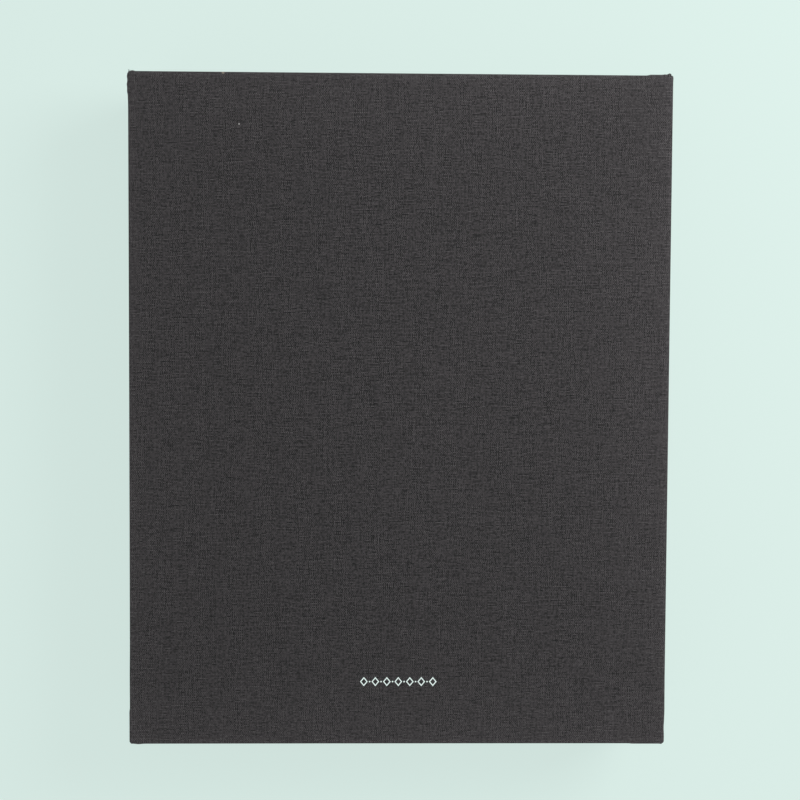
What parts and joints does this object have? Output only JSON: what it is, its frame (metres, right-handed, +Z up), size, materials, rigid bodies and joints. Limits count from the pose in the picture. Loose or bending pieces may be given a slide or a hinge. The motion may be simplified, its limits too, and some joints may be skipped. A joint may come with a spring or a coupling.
{
  "type": "lidded paper box",
  "caption": "Flat rigid box of cloth-covered greyboard with a shallow lift-off lid, papered inside, with a small stamped ornament on the lid.",
  "frame": {"origin": "middle of the underside, on the surface that the box lies on", "axes": "+Z up through the lid, +Y along the length away from the ornament, +X along the width to the right of a reader facing the ornament"},
  "size_m": [0.219, 0.2726, 0.0439],
  "materials": {
    "greyboard": "matt, pressed from recycled pulp",
    "stay_paper": "gummed kraft tape",
    "bookcloth": "plain weave in charcoal yarns, paper backed, matt",
    "lining_paper": "smooth uncoated, warm off-white",
    "silver_foil": "hot-stamped, satin silver"
  },
  "bodies": {
    "base": {"base_bottom_board": "greyboard", "base_wall_left": "greyboard", "base_wall_right": "greyboard", "base_wall_front": "greyboard", "base_wall_back": "greyboard", "base_stay_front_left": "stay_paper", "base_stay_front_right": "stay_paper", "base_stay_back_left": "stay_paper", "base_stay_back_right": "stay_paper", "base_side_cloth": "bookcloth", "base_underside_cloth": "bookcloth", "base_floor_lining": "lining_paper", "base_lining_left": "lining_paper", "base_lining_right": "lining_paper", "base_lining_front": "lining_paper", "base_lining_back": "lining_paper"},
    "lid": {"lid_top_board": "greyboard", "lid_wall_left": "greyboard", "lid_wall_right": "greyboard", "lid_wall_front": "greyboard", "lid_wall_back": "greyboard", "lid_stay_front_left": "stay_paper", "lid_stay_front_right": "stay_paper", "lid_stay_back_left": "stay_paper", "lid_stay_back_right": "stay_paper", "lid_cover_cloth": "bookcloth", "lid_ceiling_lining": "lining_paper", "lid_lining_left": "lining_paper", "lid_lining_right": "lining_paper", "lid_lining_front": "lining_paper", "lid_lining_back": "lining_paper", "lid_ornament": "silver_foil"}
  },
  "joints": [
    {"name": "lid_lift", "type": "slide", "parent": "base", "child": "lid", "axis": [0, 0, 1], "range_m": [0, 0.08]}
  ]
}
